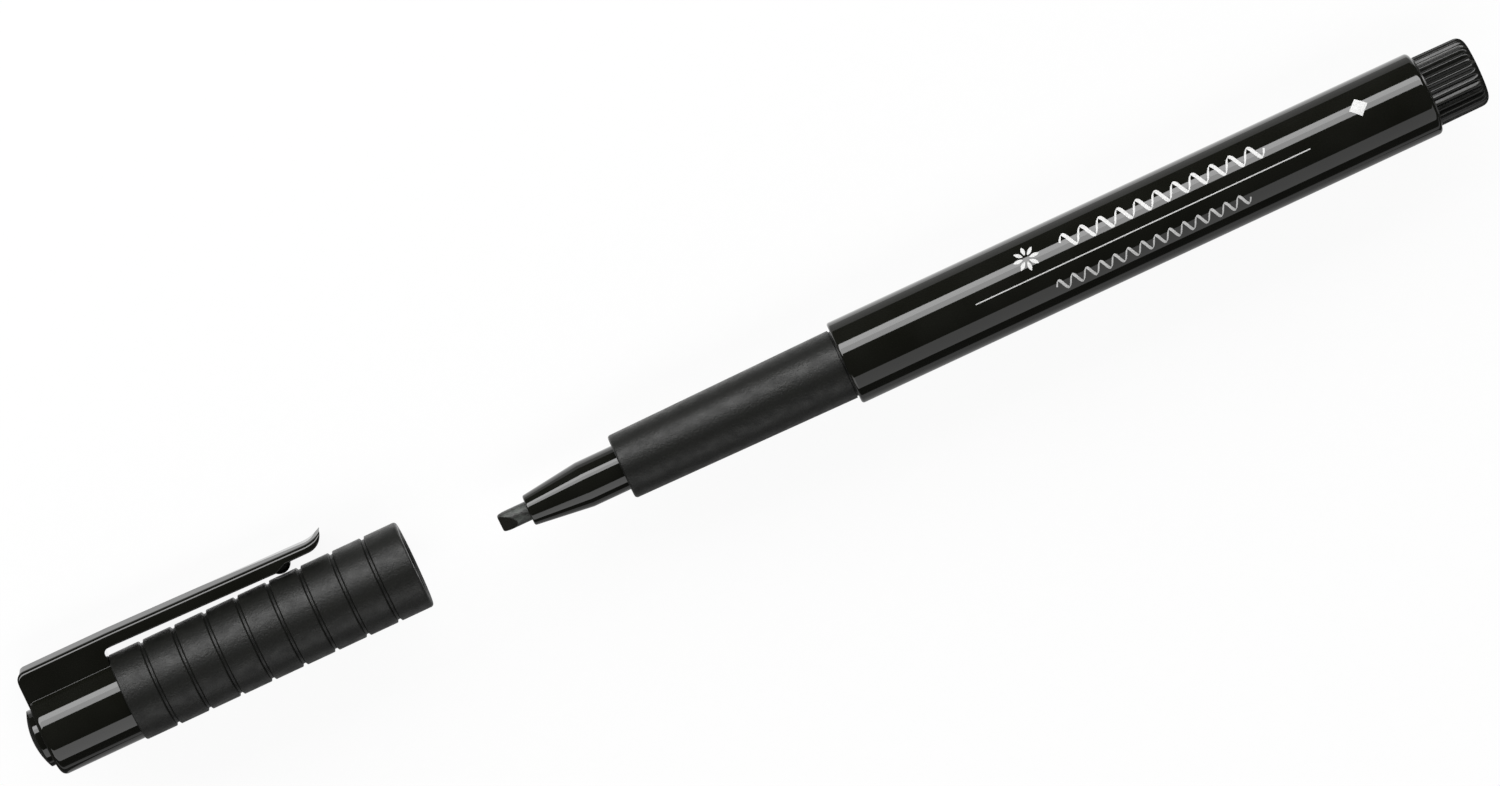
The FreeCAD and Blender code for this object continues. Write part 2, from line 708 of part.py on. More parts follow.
bodies = [
    make_barrel(),
    make_rear_plug(),
    make_grip_section(),
    make_nose_cone(),
    make_chisel_nib(),
    make_ink_reservoir(),
    tube("reservoir_wrap", f"-{RESERVOIR_START}", RESERVOIR_R, WRAP_R, RESERVOIR_LENGTH),
    make_breather_tube(),
    make_cap_sleeve(),
    make_cap_crown(),
    make_inner_cap(),
    make_end_button(),
    make_clip_arm(),
]
doc.recompute()

for item in doc.Objects:
    if "Invalid" in item.State or "Error" in item.State:
        raise RuntimeError(f"{item.Name} failed: {item.State}")
for body in bodies:
    shape = body.Shape
    if shape.isNull() or not shape.isValid() or len(shape.Solids) != 1:
        raise RuntimeError(f"{body.Label} is not one valid solid")

os.makedirs("parts", exist_ok=True)
for body in bodies:
    body.Shape.exportStep(f"parts/{body.Label}.step")
    box = body.Shape.BoundBox
    print(f"{body.Label}: x {box.XMin:.2f} to {box.XMax:.2f}, volume {body.Shape.Volume:.1f} mm3")
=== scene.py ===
"""Looks of the calligraphy marker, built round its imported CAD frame. Shapes are worked out in millimetres."""

import json
import math

import bmesh
import bpy
import numpy as np
from mathutils import Matrix, Vector


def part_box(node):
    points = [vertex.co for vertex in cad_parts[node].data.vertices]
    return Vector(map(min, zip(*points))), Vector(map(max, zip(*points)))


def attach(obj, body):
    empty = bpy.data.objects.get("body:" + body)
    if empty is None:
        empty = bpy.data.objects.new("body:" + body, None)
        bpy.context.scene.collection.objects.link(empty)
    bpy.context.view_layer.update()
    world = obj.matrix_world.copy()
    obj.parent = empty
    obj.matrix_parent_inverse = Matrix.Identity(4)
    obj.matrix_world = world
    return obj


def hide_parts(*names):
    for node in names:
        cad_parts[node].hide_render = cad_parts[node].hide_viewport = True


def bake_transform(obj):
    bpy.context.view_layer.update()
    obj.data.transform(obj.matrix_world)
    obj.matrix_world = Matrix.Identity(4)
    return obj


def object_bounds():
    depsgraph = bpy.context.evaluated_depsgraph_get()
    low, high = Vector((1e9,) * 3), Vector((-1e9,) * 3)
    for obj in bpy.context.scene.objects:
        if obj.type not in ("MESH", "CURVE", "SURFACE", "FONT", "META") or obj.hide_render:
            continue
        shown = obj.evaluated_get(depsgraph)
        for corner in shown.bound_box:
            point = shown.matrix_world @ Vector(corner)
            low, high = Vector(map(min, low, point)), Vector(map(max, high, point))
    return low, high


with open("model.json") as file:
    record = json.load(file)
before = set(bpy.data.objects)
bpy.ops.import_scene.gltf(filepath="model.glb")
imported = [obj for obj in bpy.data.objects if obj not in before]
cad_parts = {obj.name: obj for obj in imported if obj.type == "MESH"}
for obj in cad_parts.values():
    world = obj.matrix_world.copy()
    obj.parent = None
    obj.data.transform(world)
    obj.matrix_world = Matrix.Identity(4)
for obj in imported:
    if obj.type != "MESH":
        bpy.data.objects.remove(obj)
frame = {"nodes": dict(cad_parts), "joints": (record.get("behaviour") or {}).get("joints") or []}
cad_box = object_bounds()

MM = 0.001
X_AXIS = Vector((1, 0, 0))
Z_AXIS = Vector((0, 0, 1))
TINY = 1e-6  # a ring smaller than this is a single point
HOLD = 0.03  # distance of the ring that holds a straight run beside a rounded corner
ARC_STEPS = 8  # steps in a quarter turn of a rounded corner
AROUND = 192  # mesh steps round a turned piece
SHARP_ANGLE = math.radians(34)  # edges that turn more than this stay crisp

# ------------------------------------------------------------ sizes from the frame, in millimetres


def ends(node):
    """Where a CAD node starts and ends along the pen."""
    low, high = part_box(node)
    return low.x / MM, high.x / MM


def radius(node):
    """Outer radius of a CAD node that is round about the pen's axis."""
    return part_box(node)[1].z / MM


BARREL_START, BARREL_END = ends("barrel")
PLUG_START, PLUG_END = ends("rear_plug")
GRIP_START, GRIP_END = ends("grip_section")
NOSE_START, NOSE_END = ends("nose_cone")
NIB_START, NIB_END = ends("chisel_nib")
SLEEVE_START, SLEEVE_END = ends("cap_sleeve")
CROWN_START, CROWN_END = ends("cap_crown")
ARM_START, ARM_END = ends("clip_arm")
BUTTON_START, BUTTON_END = ends("end_button")

SLEEVE_R = radius("cap_sleeve")
CROWN_R = radius("cap_crown")
PLUG_R = radius("rear_plug")
GRIP_R = radius("grip_section")
NIB_R = radius("chisel_nib")

hinge = next(joint for joint in frame["joints"] if joint["name"] == "clip_flex")
CLIP_UP = Vector((0, *hinge["pos_m"][1:])).normalized()  # from the pen's axis to the clip
NIB_TURN = math.radians(-3)
NIB_UP = Vector((0, math.sin(NIB_TURN), math.cos(NIB_TURN)))  # the way the upper bevel faces

# ------------------------------------------------------------ sizes of the pieces themselves, in millimetres

BARREL_R = 5.5
WALL_BORE_R = 4.4  # bore of the barrel, and outside of what is pushed into it
FILLER_SPACE_R = 3.6
BARREL_FRONT_ROUND = 0.35
BARREL_REAR_ROUND = 0.6
RIB_HALF_WIDTH = 0.4
RIB_COUNT = 4
RIB_END_GAP = 9.0  # from either end of the barrel

PLUG_TAPER = 0.07
PLUG_REAR_ROUND = 1.2
PLUG_REAR_WALL = 1.8
PLUG_COLLAR = 0.2
FIN_START = 3.8  # behind the plug's front end
FIN_HALF_WIDTH = 0.4
VALLEY_COUNT = 32
VALLEY_WIDTH = 0.84
VALLEY_DEPTH = 0.32
VALLEY_STEPS = 20  # mesh steps from one rib to the next
CREST_SOFTNESS = 0.02

GRIP_TAPER = 0.335
GRIP_FRONT_ROUND = 0.4
GRIP_NECK = 0.2
GRIP_NECK_ROUND = 0.08
GRIP_FRONT_WALL = 2.5
GRIP_HOLE_R = 3.15

NOSE_COLLAR_R = 3.0
NOSE_TIP_R = 2.025
NOSE_TIP_ROUND = 0.25
NOSE_CONE_LENGTH = 7.7
NOSE_CONE_BLEND = 1.2  # round between cone and collar
NOSE_SHOULDER = 15.3  # from the tip to the part held in the barrel's bore
MOUTH_LENGTH = 1.5
MOUTH_GAP = 0.08
VENT_DEPTH = 0.35
VENT_HALF_WIDTH = 0.25
VENT_COUNT = 4

BEVEL_LENGTH = 2.1
NIB_EDGE = 0.35
NIB_CORNER_ROUND = 0.3
BEVEL_RINGS = 28
BEVEL_CROWDING = 1.5  # the rings stand closer together towards the cut edge
PAST_BEVEL = 0.4
ROD_RINGS = [3.0, 6.0]  # behind the cut edge
BEVEL_FORWARD = 0.3  # a bevel's faces look at least this much along the nib
BEVEL_UPRIGHT = 0.5  # and at least this much up or down
EDGE_FORWARD = 0.9  # the square-cut edge looks at least this much along the nib

SLEEVE_BORE_R = 4.9
SOCKET_R = 5.1
SOCKET_LENGTH = 8.5
SLEEVE_MOUTH_ROUND = 0.4
SLEEVE_END_ROUND = 0.25
LIP_R = 4.75
LIP_LENGTH = 1.0
LIP_CHAMFER = 0.25
GROOVE_COUNT = 8
GROOVE_FIRST = 4.5
GROOVE_LAST = 4.65
GROOVE_WIDTH = 0.65
GROOVE_DEPTH = 0.33
GROOVE_FLOOR = 0.3
GROOVE_ROUND = 0.12
GROOVE_FLOOR_ROUND = 0.05
GROOVE_PITCH = (SLEEVE_END - SLEEVE_START - GROOVE_FIRST - GROOVE_LAST) / (GROOVE_COUNT - 1)
SLEEVE_AROUND = 216
DIMPLE_STEP = 0.1  # mesh step beside the hollow
DIMPLE_HALF_WIDTH = 1.35
DIMPLE_DEPTH = 0.4

CROWN_BORE_R = 4.65
CROWN_END_WALL = 1.3
CROWN_END_ROUND = 0.8
STEM_R = 2.0
STEM_LENGTH = 0.8

CLIP_SIDE = 2.5  # half the clip's width
CLIP_FACE = 8.85  # heights are from the pen's axis
CLIP_FACE_AT_FLARE = 8.33
CLIP_TIP = 9.07
CLIP_EDGE = 0.6
CLIP_UNDER_EDGE = 0.2
CLIP_ROOT_FILLET = 0.12
CLIP_ROOT_ROUND = 1.2
CLIP_UNDER = 7.03
CLIP_UNDER_AT_BALL = 6.58
CLIP_UNDER_PAST_BALL = 7.22
CLIP_SLOT_ROUND = 0.6
CLIP_FLARE = 2.6  # length of the curve up to the tip
CLIP_UNDER_CURVE = 2.3
CLIP_TIP_CORNER = 1.0
CLIP_TIP_CUT = 0.03  # leaves the tip a hair thick instead of ending in nothing
BALL_R = 1.5
BALL_HEIGHT = 7.41
BALL_FROM_TIP = 6.3

CLIP_END_EDGE = 0.2
CLIP_EDGE_SHARE = 0.6  # a thin stretch of the clip rounds this much of its thickness above
CLIP_UNDER_SHARE = 0.3  # and this much below
CLIP_UNDER_STEPS = 26
CROWN_STEPS = 72
ROOT_RINGS = 10
ARM_RINGS = 36
BALL_RINGS = 41
TAIL_RINGS = 6
FLARE_RINGS = 28

BUTTON_R = 3.85
BUTTON_DOME = 0.87
BUTTON_EDGE_ROUND = 0.2
DOME_RINGS = 24
DOME_SHARE = 0.985  # how much of the dome there is before its rounded edge
BUTTON_AROUND = 128

PRINT_DEPTH = 0.012
PRINT_LANES = 6
WAVE_POINTS = 24  # in each wave of a stroke
RULE_POINTS = 60
PETAL_POINTS = 16
PETAL_COUNT = 8
PETAL_FULLNESS = 0.8
LOZENGE_POINTS = 13
STROKE_THIN = 0.07
STROKE_STUB = 0.03  # share of a pointed stroke that is left off, so that it doesn't end in nothing
LOZENGE_REACH = 0.98
NIB_HOLD = math.radians(40)  # angle of a broad nib's edge to the writing line

# ------------------------------------------------------------ the view, the lamps and the floor

VIEW_TILT = math.radians(31.8)  # the camera stands this far from straight above, on the clip's side
VIEW = Vector((0, math.sin(VIEW_TILT), math.cos(VIEW_TILT)))
IMAGE_UP = Vector((0, math.cos(VIEW_TILT), -math.sin(VIEW_TILT)))
MIDDLE = (X_AXIS * -12.2 + IMAGE_UP * 1.62) * MM  # the camera looks at this place
DISTANCE = 1.035  # from there to the camera, in metres
LENS = 198.7
SENSOR = 36
PEN_RISE = 25.0  # degrees from level to the pen in the picture
STRIP_DISTANCE = 0.6  # from the pen to the long lamps, in metres
STRIP_ENDS = (-812, 788)  # along the pen, in millimetres
FILL_SPLIT = -15  # the fill lamp is brighter in front of this place
GLOW_LIFT = 0.05  # above the floor, in millimetres
WORLD_GREY = 0.05
FLOOR_SIDES = 96
# how far out each ring of the floor is and how high, in metres
FLOOR_RINGS = [(0.3, 0), (0.8, 0), (1.6, 0), (2.4, 0), (2.7, 0.08), (2.85, 0.3), (2.9, 1.4)]
PAPER_NEAR = 0.1  # out to here the floor is mostly paper's own light, and from PAPER_FAR wholly, in metres
PAPER_FAR = 0.5
PAPER_GLOW = 0.92

# ------------------------------------------------------------ outlines and meshes


def arc_at(here, before, after, size):
    """Points of the arc that rounds a corner, with one more just outside each end of it."""
    before = before / np.linalg.norm(before)
    after = after / np.linalg.norm(after)
    half = math.acos(float(np.clip(before @ after, -1, 1))) / 2
    reach = size / math.tan(half)
    middle = (before + after) / np.linalg.norm(before + after)
    centre = here + middle * size / math.sin(half)
    start = here + before * reach - centre
    end = here + after * reach - centre
    turn = math.pi - 2 * half
    steps = max(2, round(ARC_STEPS * turn / (math.pi / 2)))
    arc = []
    for share in np.linspace(0, 1, steps + 1):
        spoke = math.sin((1 - share) * turn) * start + math.sin(share * turn) * end
        arc.append(centre + spoke / math.sin(turn))
    return [here + before * (reach + HOLD), *arc, here + after * (reach + HOLD)]


def rounded(corners):
    """An outline's points. A corner is (along, out) or (along, out, round), and its round becomes an arc."""
    points = []
    for index, (along, out, *size) in enumerate(corners):
        here = np.array((along, out))
        if not size:
            points.append(here)
            continue
        before = np.array(corners[index - 1][:2]) - here
        after = np.array(corners[(index + 1) % len(corners)][:2]) - here
        points.extend(arc_at(here, before, after, size[0]))
    return np.array(points)


def divided(points, step, start, end):
    """The outline with its runs between two places along the pen cut into steps."""
    result = []
    for here, after in zip(points, np.roll(points, -1, axis=0)):
        result.append(here)
        length = np.linalg.norm(after - here)
        inside = start <= min(here[0], after[0]) and max(here[0], after[0]) <= end
        if inside and length > step:
            shares = np.arange(1, math.ceil(length / step)) * step / length
            result.extend(here + (after - here) * share for share in shares)
    return np.array(result)


def placed(along, out, angle, up):
    """Points at a distance out from the pen's axis, at an angle from the direction up."""
    across = X_AXIS.cross(up)
    along, out, angle = np.broadcast_arrays(along, out, angle)
    radial = np.cos(angle)[..., None] * np.array(up) + np.sin(angle)[..., None] * np.array(across)
    return along[..., None] * np.array(X_AXIS) + out[..., None] * radial


def mesh_object(name, points, faces):
    """A closed, evenly shaded mesh from points in millimetres."""
    mesh = bpy.data.meshes.new(name)
    mesh.from_pydata([tuple(point) for point in np.array(points) * MM], [], faces)
    build = bmesh.new()
    build.from_mesh(mesh)
    bmesh.ops.recalc_face_normals(build, faces=build.faces)
    build.to_mesh(mesh)
    build.free()
    mesh.shade_smooth()
    mesh.set_sharp_from_angle(angle=SHARP_ANGLE)
    piece = bpy.data.objects.new(name, mesh)
    bpy.context.scene.collection.objects.link(piece)
    even = piece.modifiers.new("even_shading", "WEIGHTED_NORMAL")
    even.keep_sharp = True
    return piece


def skin(name, rings, closed):
    """A mesh through rings of points. A run that isn't closed has both its ends capped."""
    points, faces, firsts, sizes = [], [], [], []
    for ring in rings:
        single = np.ptp(ring, axis=0).max() < TINY
        firsts.append(len(points))
        sizes.append(1 if single else len(ring))
        points.extend(ring[:1] if single else ring)
    pairs = [(index, index + 1) for index in range(len(rings) - 1)]
    if closed:
        pairs.append((len(rings) - 1, 0))
    for near, far in pairs:
        count = max(sizes[near], sizes[far])
        for here in range(count):
            after = (here + 1) % count
            corners = [
                firsts[near] + here % sizes[near],
                firsts[near] + after % sizes[near],
                firsts[far] + after % sizes[far],
                firsts[far] + here % sizes[far],
            ]
            faces.append(list(dict.fromkeys(corners)))
    if not closed:
        for end in (0, len(rings) - 1):
            if sizes[end] > 1:
                faces.append(list(range(firsts[end], firsts[end] + sizes[end])))
    return mesh_object(name, points, faces)


def turned(name, outline, up=Z_AXIS, around=AROUND, shape=None, closed=True):
    """An outline turned about the pen's axis. shape(along, out, angle) gives another distance out."""
    angle = np.arange(around) * 2 * math.pi / around
    along, out = outline[:, :1], outline[:, 1:]
    if shape:
        out = shape(along, out, angle[None, :])
    return skin(name, placed(along, out, angle[None, :], up), closed)


def finish_piece(piece, node, body, slot, *materials):
    """The piece rides on its body in place of its CAD node."""
    for material in materials:
        piece.data.materials.append(material)
    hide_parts(node)
    if body:
        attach(piece, body)
    return piece


# ------------------------------------------------------------ materials


class Finish:
    """A material put together from nodes."""

    def __init__(self, name):
        self.material = bpy.data.materials.new(name)
        self.material.use_nodes = True
        self.tree = self.material.node_tree
        self.shader = self.tree.nodes["Principled BSDF"]
        self.place = self.add("TexCoord").outputs["Object"]

    def add(self, kind, settings=None, **inputs):
        """A new node. Each input is a value or another node's output."""
        node = self.tree.nodes.new(f"ShaderNode{kind}")
        for name, value in (settings or {}).items():
            setattr(node, name, value)
        for name, value in inputs.items():
            self.feed(node.inputs[name.replace("_", " ")], value)
        return node

    def feed(self, socket, value):
        if isinstance(value, bpy.types.NodeSocket):
            self.tree.links.new(value, socket)
        else:
            socket.default_value = value

    def noise(self, size, detail=3.0, stretch=(1, 1, 1), distortion=0.0):
        """Noise with features of about that size in millimetres, drawn out along an axis by stretch."""
        scale = tuple(1 / share for share in stretch)
        place = self.add("Mapping", Vector=self.place, Scale=scale).outputs[0]
        node = self.add("TexNoise", Vector=place, Scale=1 / (size * MM), Detail=detail, Distortion=distortion)
        return node.outputs[0]

    def span(self, value, low, high, start=0.3, end=0.7):
        """The value spread from low to high."""
        node = self.add("MapRange", Value=value, From_Min=start, From_Max=end, To_Min=low, To_Max=high)
        return node.outputs[0]

    def blend(self, share, first, second):
        """A colour between two colours."""
        node = self.add("Mix", {"data_type": "RGBA"})
        factor, one, two = node.inputs[0], node.inputs[6], node.inputs[7]
        self.feed(factor, share)
        self.feed(one, first if isinstance(first, bpy.types.NodeSocket) else (*first, 1))
        self.feed(two, second if isinstance(second, bpy.types.NodeSocket) else (*second, 1))
        return node.outputs[2]

    def total(self, first, second):
        """Two values added together."""
        node = self.add("Math", {"operation": "ADD"})
        self.feed(node.inputs[0], first)
        self.feed(node.inputs[1], second)
        return node.outputs[0]

    def edges(self, start=0.53, end=0.62):
        """One on the mesh's sharp outer edges and crests, and nought elsewhere: the mask for a painted
        highlight there.
        """
        return self.span(self.add("NewGeometry").outputs["Pointiness"], 0.0, 1.0, start, end)

    def colour(self, value):
        self.feed(self.shader.inputs["Base Color"], value)

    def roughness(self, value):
        self.feed(self.shader.inputs["Roughness"], value)

    def relief(self, height, strength, depth):
        """Bumps of that depth in millimetres."""
        node = self.add("Bump", Strength=strength, Distance=depth * MM, Height=height)
        self.feed(self.shader.inputs["Normal"], node.outputs[0])


def gloss_black():
    """Polished moulded plastic: nearly black, with faint handling marks, slightly rougher edges and a painted
    highlight that colours the edges lighter.
    """
    made = Finish("gloss_black_plastic")
    cloud = made.noise(6.0, 4.0)
    body = made.blend(made.span(cloud, 0.0, 1.0), (0.0028, 0.0029, 0.0019), (0.0044, 0.0045, 0.0034))
    # painted highlight: the mesh's edges are coloured lighter, standing in for the bright lines of light along
    # them; they are also made a little rougher
    edge_highlight_mask = made.edges(0.56, 0.68)
    made.colour(made.blend(made.span(edge_highlight_mask, 0.0, 0.3, 0, 1), body, (0.02, 0.02, 0.018)))
    smudge = made.span(made.noise(3.5, 5.0, (3, 1, 1)), 0.03, 0.06)
    made.roughness(made.total(smudge, made.span(edge_highlight_mask, 0.0, 0.06, 0, 1)))
    made.relief(made.noise(0.9, 2.0), 0.05, 0.004)
    made.shader.inputs["IOR"].default_value = 1.5
    return made.material


def grained_black():
    """Matte black plastic with a fine spark-eroded grain."""
    made = Finish("grained_black_plastic")
    grain = made.noise(0.16, 3.0)
    cloud = made.noise(1.1, 4.0, (1.4, 1, 1))
    made.colour(made.blend(made.span(cloud, 0.0, 1.0), (0.0016, 0.0018, 0.0013), (0.0068, 0.0070, 0.0061)))
    made.roughness(made.total(made.span(cloud, 0.48, 0.34), made.span(grain, 0.0, 0.06)))
    pits = made.noise(0.32, 3.0)
    made.relief(made.total(made.span(grain, 0.0, 0.5), made.span(pits, 0.0, 1.0)), 1.0, 0.014)
    made.shader.inputs["Specular IOR Level"].default_value = 0.3
    return made.material


def plug_black():
    """Satin black plastic, with a painted highlight: the crests of its ribs are coloured brighter."""
    made = Finish("plug_black_plastic")
    grain = made.noise(0.2, 3.0, (3, 1, 1))
    # painted highlight: the rib crests are coloured brighter than the body, standing in for thin lines of light
    # on them
    crest_highlight = made.edges(0.52, 0.58)
    body = made.blend(made.span(grain, 0.0, 1.0), (0.0022, 0.0024, 0.0018), (0.0045, 0.0047, 0.004))
    made.colour(made.blend(crest_highlight, body, (0.018, 0.018, 0.016)))
    made.roughness(made.total(made.span(made.noise(1.5), 0.20, 0.27), made.span(grain, 0.0, 0.05)))
    made.relief(grain, 0.3, 0.012)
    made.shader.inputs["Specular IOR Level"].default_value = 0.4
    return made.material


def nib_fibre():
    """Bonded fibres along the rod, grey-green where dry and dark where ink has soaked in."""
    made = Finish("nib_fibre")
    fibres = made.noise(0.10, 3.0, (6, 1, 1), 0.4)
    patches = made.noise(0.8, 2.0, (1.6, 1, 1))
    dry = made.blend(made.span(fibres, 0.0, 1.0), (0.005, 0.006, 0.005), (0.06, 0.068, 0.06))
    made.colour(made.blend(made.span(patches, 0.0, 1.0, 0.42, 0.64), (0.005, 0.005, 0.004), dry))
    made.roughness(made.span(patches, 0.24, 0.55))
    made.relief(made.total(fibres, made.noise(0.4, 2.0)), 1.0, 0.05)
    return made.material


def wet_ink():
    """The cut face of the nib, shining with black ink."""
    made = Finish("nib_wet_ink")
    grain = made.noise(0.15, 3.0)
    made.colour(made.blend(made.span(grain, 0.0, 1.0), (0.0025, 0.0025, 0.0015), (0.005, 0.005, 0.003)))
    made.roughness(made.span(made.noise(0.6), 0.22, 0.38))
    made.relief(grain, 0.35, 0.015)
    made.shader.inputs["Specular IOR Level"].default_value = 0.12
    return made.material


def filler_fibre():
    """Soft filler of lengthwise fibres, soaked with ink."""
    made = Finish("filler_fibre")
    fibres = made.noise(0.12, 4.0, (12, 1, 1), 0.3)
    made.colour(made.blend(made.span(fibres, 0.0, 1.0), (0.006, 0.006, 0.009), (0.03, 0.03, 0.04)))
    made.roughness(made.span(fibres, 0.7, 0.95))
    made.relief(fibres, 0.8, 0.06)
    return made.material


def film():
    """Thin milky film with faint ink stains."""
    made = Finish("wrap_film")
    stains = made.noise(4.0, 4.0, (3, 1, 1))
    made.colour(made.blend(made.span(stains, 0.0, 1.0), (0.72, 0.72, 0.69), (0.42, 0.42, 0.44)))
    made.roughness(made.span(made.noise(1.0), 0.22, 0.38))
    made.relief(made.noise(0.8, 2.0, (4, 1, 1)), 0.2, 0.02)
    return made.material


def liner_plastic():
    """Satin dark polyethylene with a few ink marks."""
    made = Finish("liner_plastic")
    cloud = made.noise(1.2, 4.0)
    made.colour(made.blend(made.span(cloud, 0.0, 1.0), (0.045, 0.045, 0.045), (0.075, 0.075, 0.073)))
    made.roughness(made.span(cloud, 0.35, 0.5))
    made.relief(made.noise(0.25, 3.0), 0.2, 0.02)
    return made.material


def white_ink():
    """Opaque printed ink, a little uneven and thinner here and there."""
    made = Finish("white_print_ink")
    grain = made.noise(0.12, 3.0)
    made.colour(made.blend(made.span(grain, 0.0, 1.0, 0.35, 0.5), (0.27, 0.27, 0.265), (0.42, 0.42, 0.415)))
    made.roughness(made.span(grain, 0.35, 0.55))
    made.relief(grain, 0.2, 0.01)
    return made.material


# ------------------------------------------------------------ pieces of the pen


def near_spoke(out, angle, count, half_width):
    """True within half_width of one of count evenly spaced planes through the axis."""
    turn = 2 * math.pi / count
    off = (angle + turn / 2) % turn - turn / 2
    return np.abs(np.sin(off) * out) < half_width


def make_barrel(material):
    corners = [
        (BARREL_START, WALL_BORE_R),
        (BARREL_START, BARREL_R, BARREL_FRONT_ROUND),
        (BARREL_END, BARREL_R, BARREL_REAR_ROUND),
        (BARREL_END, WALL_BORE_R),
        (BARREL_END - RIB_END_GAP, WALL_BORE_R),
        (BARREL_END - RIB_END_GAP - HOLD, WALL_BORE_R),
        (BARREL_START + RIB_END_GAP + HOLD, WALL_BORE_R),
        (BARREL_START + RIB_END_GAP, WALL_BORE_R),
    ]

    def ribs(along, out, angle):
        """Inner ribs keep the reservoir central."""
        ribbed = (along > BARREL_START + RIB_END_GAP + TINY) & (along < BARREL_END - RIB_END_GAP - TINY)
        inner = (out < WALL_BORE_R + TINY) & ribbed & near_spoke(out, angle, RIB_COUNT, RIB_HALF_WIDTH)
        return np.where(inner, FILLER_SPACE_R, out)

    piece = turned("barrel_tube", rounded(corners), shape=ribs)
    return finish_piece(piece, "barrel", "pen", "gloss_black", material)


def make_rear_plug(material):
    floor = PLUG_END - PLUG_REAR_WALL
    valley_start = BARREL_END + PLUG_COLLAR
    corners = [
        (PLUG_START, FILLER_SPACE_R),
        (PLUG_START, WALL_BORE_R),
        (BARREL_END, WALL_BORE_R),
        (BARREL_END, PLUG_R),
        (valley_start, PLUG_R),
        (valley_start + HOLD, PLUG_R),
        (PLUG_END, PLUG_R - PLUG_TAPER, PLUG_REAR_ROUND),
        (PLUG_END, 0),
    ]
    outline = np.vstack([[(floor, 0), (floor, FILLER_SPACE_R)], rounded(corners)])

    def valleys(along, out, angle):
        """V-shaped valleys between the finger ribs, with crests that are a little soft."""
        turn = 2 * math.pi / VALLEY_COUNT
        off = np.abs((angle + turn / 2) % turn - turn / 2) * PLUG_R
        wall = PLUG_R - VALLEY_DEPTH * (1 - off / (VALLEY_WIDTH / 2))
        soft = -CREST_SOFTNESS * np.logaddexp(-out / CREST_SOFTNESS, -wall / CREST_SOFTNESS)
        return np.where(along > valley_start + TINY, soft, out)

    around = VALLEY_COUNT * VALLEY_STEPS
    piece = turned("rear_plug_body", outline, around=around, shape=valleys, closed=False)
    return finish_piece(piece, "rear_plug", "pen", "plug_black", material)


def make_plug_fins(material):
    """Crossed fins in the plug's hollow, which stop the reservoir."""
    near, far = PLUG_START + FIN_START, PLUG_END - PLUG_REAR_WALL
    reach, half = FILLER_SPACE_R, FIN_HALF_WIDTH
    quarter = [(half, reach), (half, half), (reach, half)]
    cross = []
    for turn in range(4):
        for across, out in quarter:
            for _ in range(turn):
                across, out = out, -across
            cross.append((across, out))
    rings = [[(along, across, out) for across, out in cross] for along in (near, far)]
    piece = skin("rear_plug_fins", np.array(rings), closed=False)
    piece.data.materials.append(material)
    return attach(piece, "pen")


def make_grip(material):
    neck = BARREL_START - GRIP_NECK
    corners = [
        (GRIP_START, GRIP_HOLE_R),
        (GRIP_START, GRIP_R - GRIP_TAPER, GRIP_FRONT_ROUND),
        (neck, GRIP_R, GRIP_NECK_ROUND),
        (neck, WALL_BORE_R),
        (GRIP_END, WALL_BORE_R),
        (GRIP_END, FILLER_SPACE_R),
        (GRIP_START + GRIP_FRONT_WALL, FILLER_SPACE_R),
        (GRIP_START + GRIP_FRONT_WALL, GRIP_HOLE_R),
    ]
    piece = turned("grip_body", rounded(corners))
    return finish_piece(piece, "grip_section", "pen", "grained_black", material)


def make_nose(material):
    shoulder = NOSE_START + NOSE_SHOULDER
    cone_end = NOSE_START + NOSE_CONE_LENGTH
    mouth_end = NOSE_START + MOUTH_LENGTH
    corners = [
        (NOSE_START, NIB_R + MOUTH_GAP),
        (NOSE_START, NOSE_TIP_R, NOSE_TIP_ROUND),
        (cone_end, NOSE_COLLAR_R, NOSE_CONE_BLEND),
        (shoulder, NOSE_COLLAR_R),
        (shoulder, FILLER_SPACE_R),
        (NOSE_END, FILLER_SPACE_R),
        (NOSE_END, NIB_R),
        (mouth_end + HOLD, NIB_R),
        (mouth_end, NIB_R),
        (mouth_end, NIB_R + MOUTH_GAP),
    ]

    def vents(along, out, angle):
        """Channels beside the nib let air in as ink goes out."""
        inner = (out < NIB_R + TINY) & (along > mouth_end + TINY)
        inner = inner & near_spoke(out, angle, VENT_COUNT, VENT_HALF_WIDTH)
        return np.where(inner, NIB_R + VENT_DEPTH, out)

    piece = turned("nose_body", rounded(corners), shape=vents)
    return finish_piece(piece, "nose_cone", "pen", "gloss_black", material)


def make_nib(fibre, ink):
    """A fibre rod cut to a chisel: two bevels leave a thin square-cut edge."""
    near_edge = np.linspace(0, 1, BEVEL_RINGS) ** BEVEL_CROWDING * (BEVEL_LENGTH + PAST_BEVEL)
    along = np.append(NIB_START + np.concatenate([near_edge, ROD_RINGS]), NIB_END)

    def bevels(along, out, angle):
        depth = along - NIB_START
        corner = np.maximum(NIB_CORNER_ROUND - depth, 0)
        rim = out - NIB_CORNER_ROUND + np.sqrt(NIB_CORNER_ROUND**2 - corner**2)
        half = NIB_EDGE / 2 + (NIB_R - NIB_EDGE / 2) * depth / BEVEL_LENGTH
        flat = half / np.maximum(np.abs(np.cos(angle)), TINY)
        return np.minimum(rim, np.where(depth < BEVEL_LENGTH, flat, np.inf))

    outline = np.column_stack([along, np.full_like(along, NIB_R)])
    piece = turned("nib_rod", outline, NIB_UP, shape=bevels, closed=False)
    finish_piece(piece, "chisel_nib", "pen", "nib_fibre", fibre, ink)
    for face in piece.data.polygons:
        in_front = face.center.x / MM < NIB_START + BEVEL_LENGTH
        upright = abs(face.normal.dot(NIB_UP)) > BEVEL_UPRIGHT
        bevel = in_front and upright and abs(face.normal.x) > BEVEL_FORWARD
        face.material_index = int(bevel or face.normal.x < -EDGE_FORWARD)
    return piece


# ------------------------------------------------------------ pieces of the cap


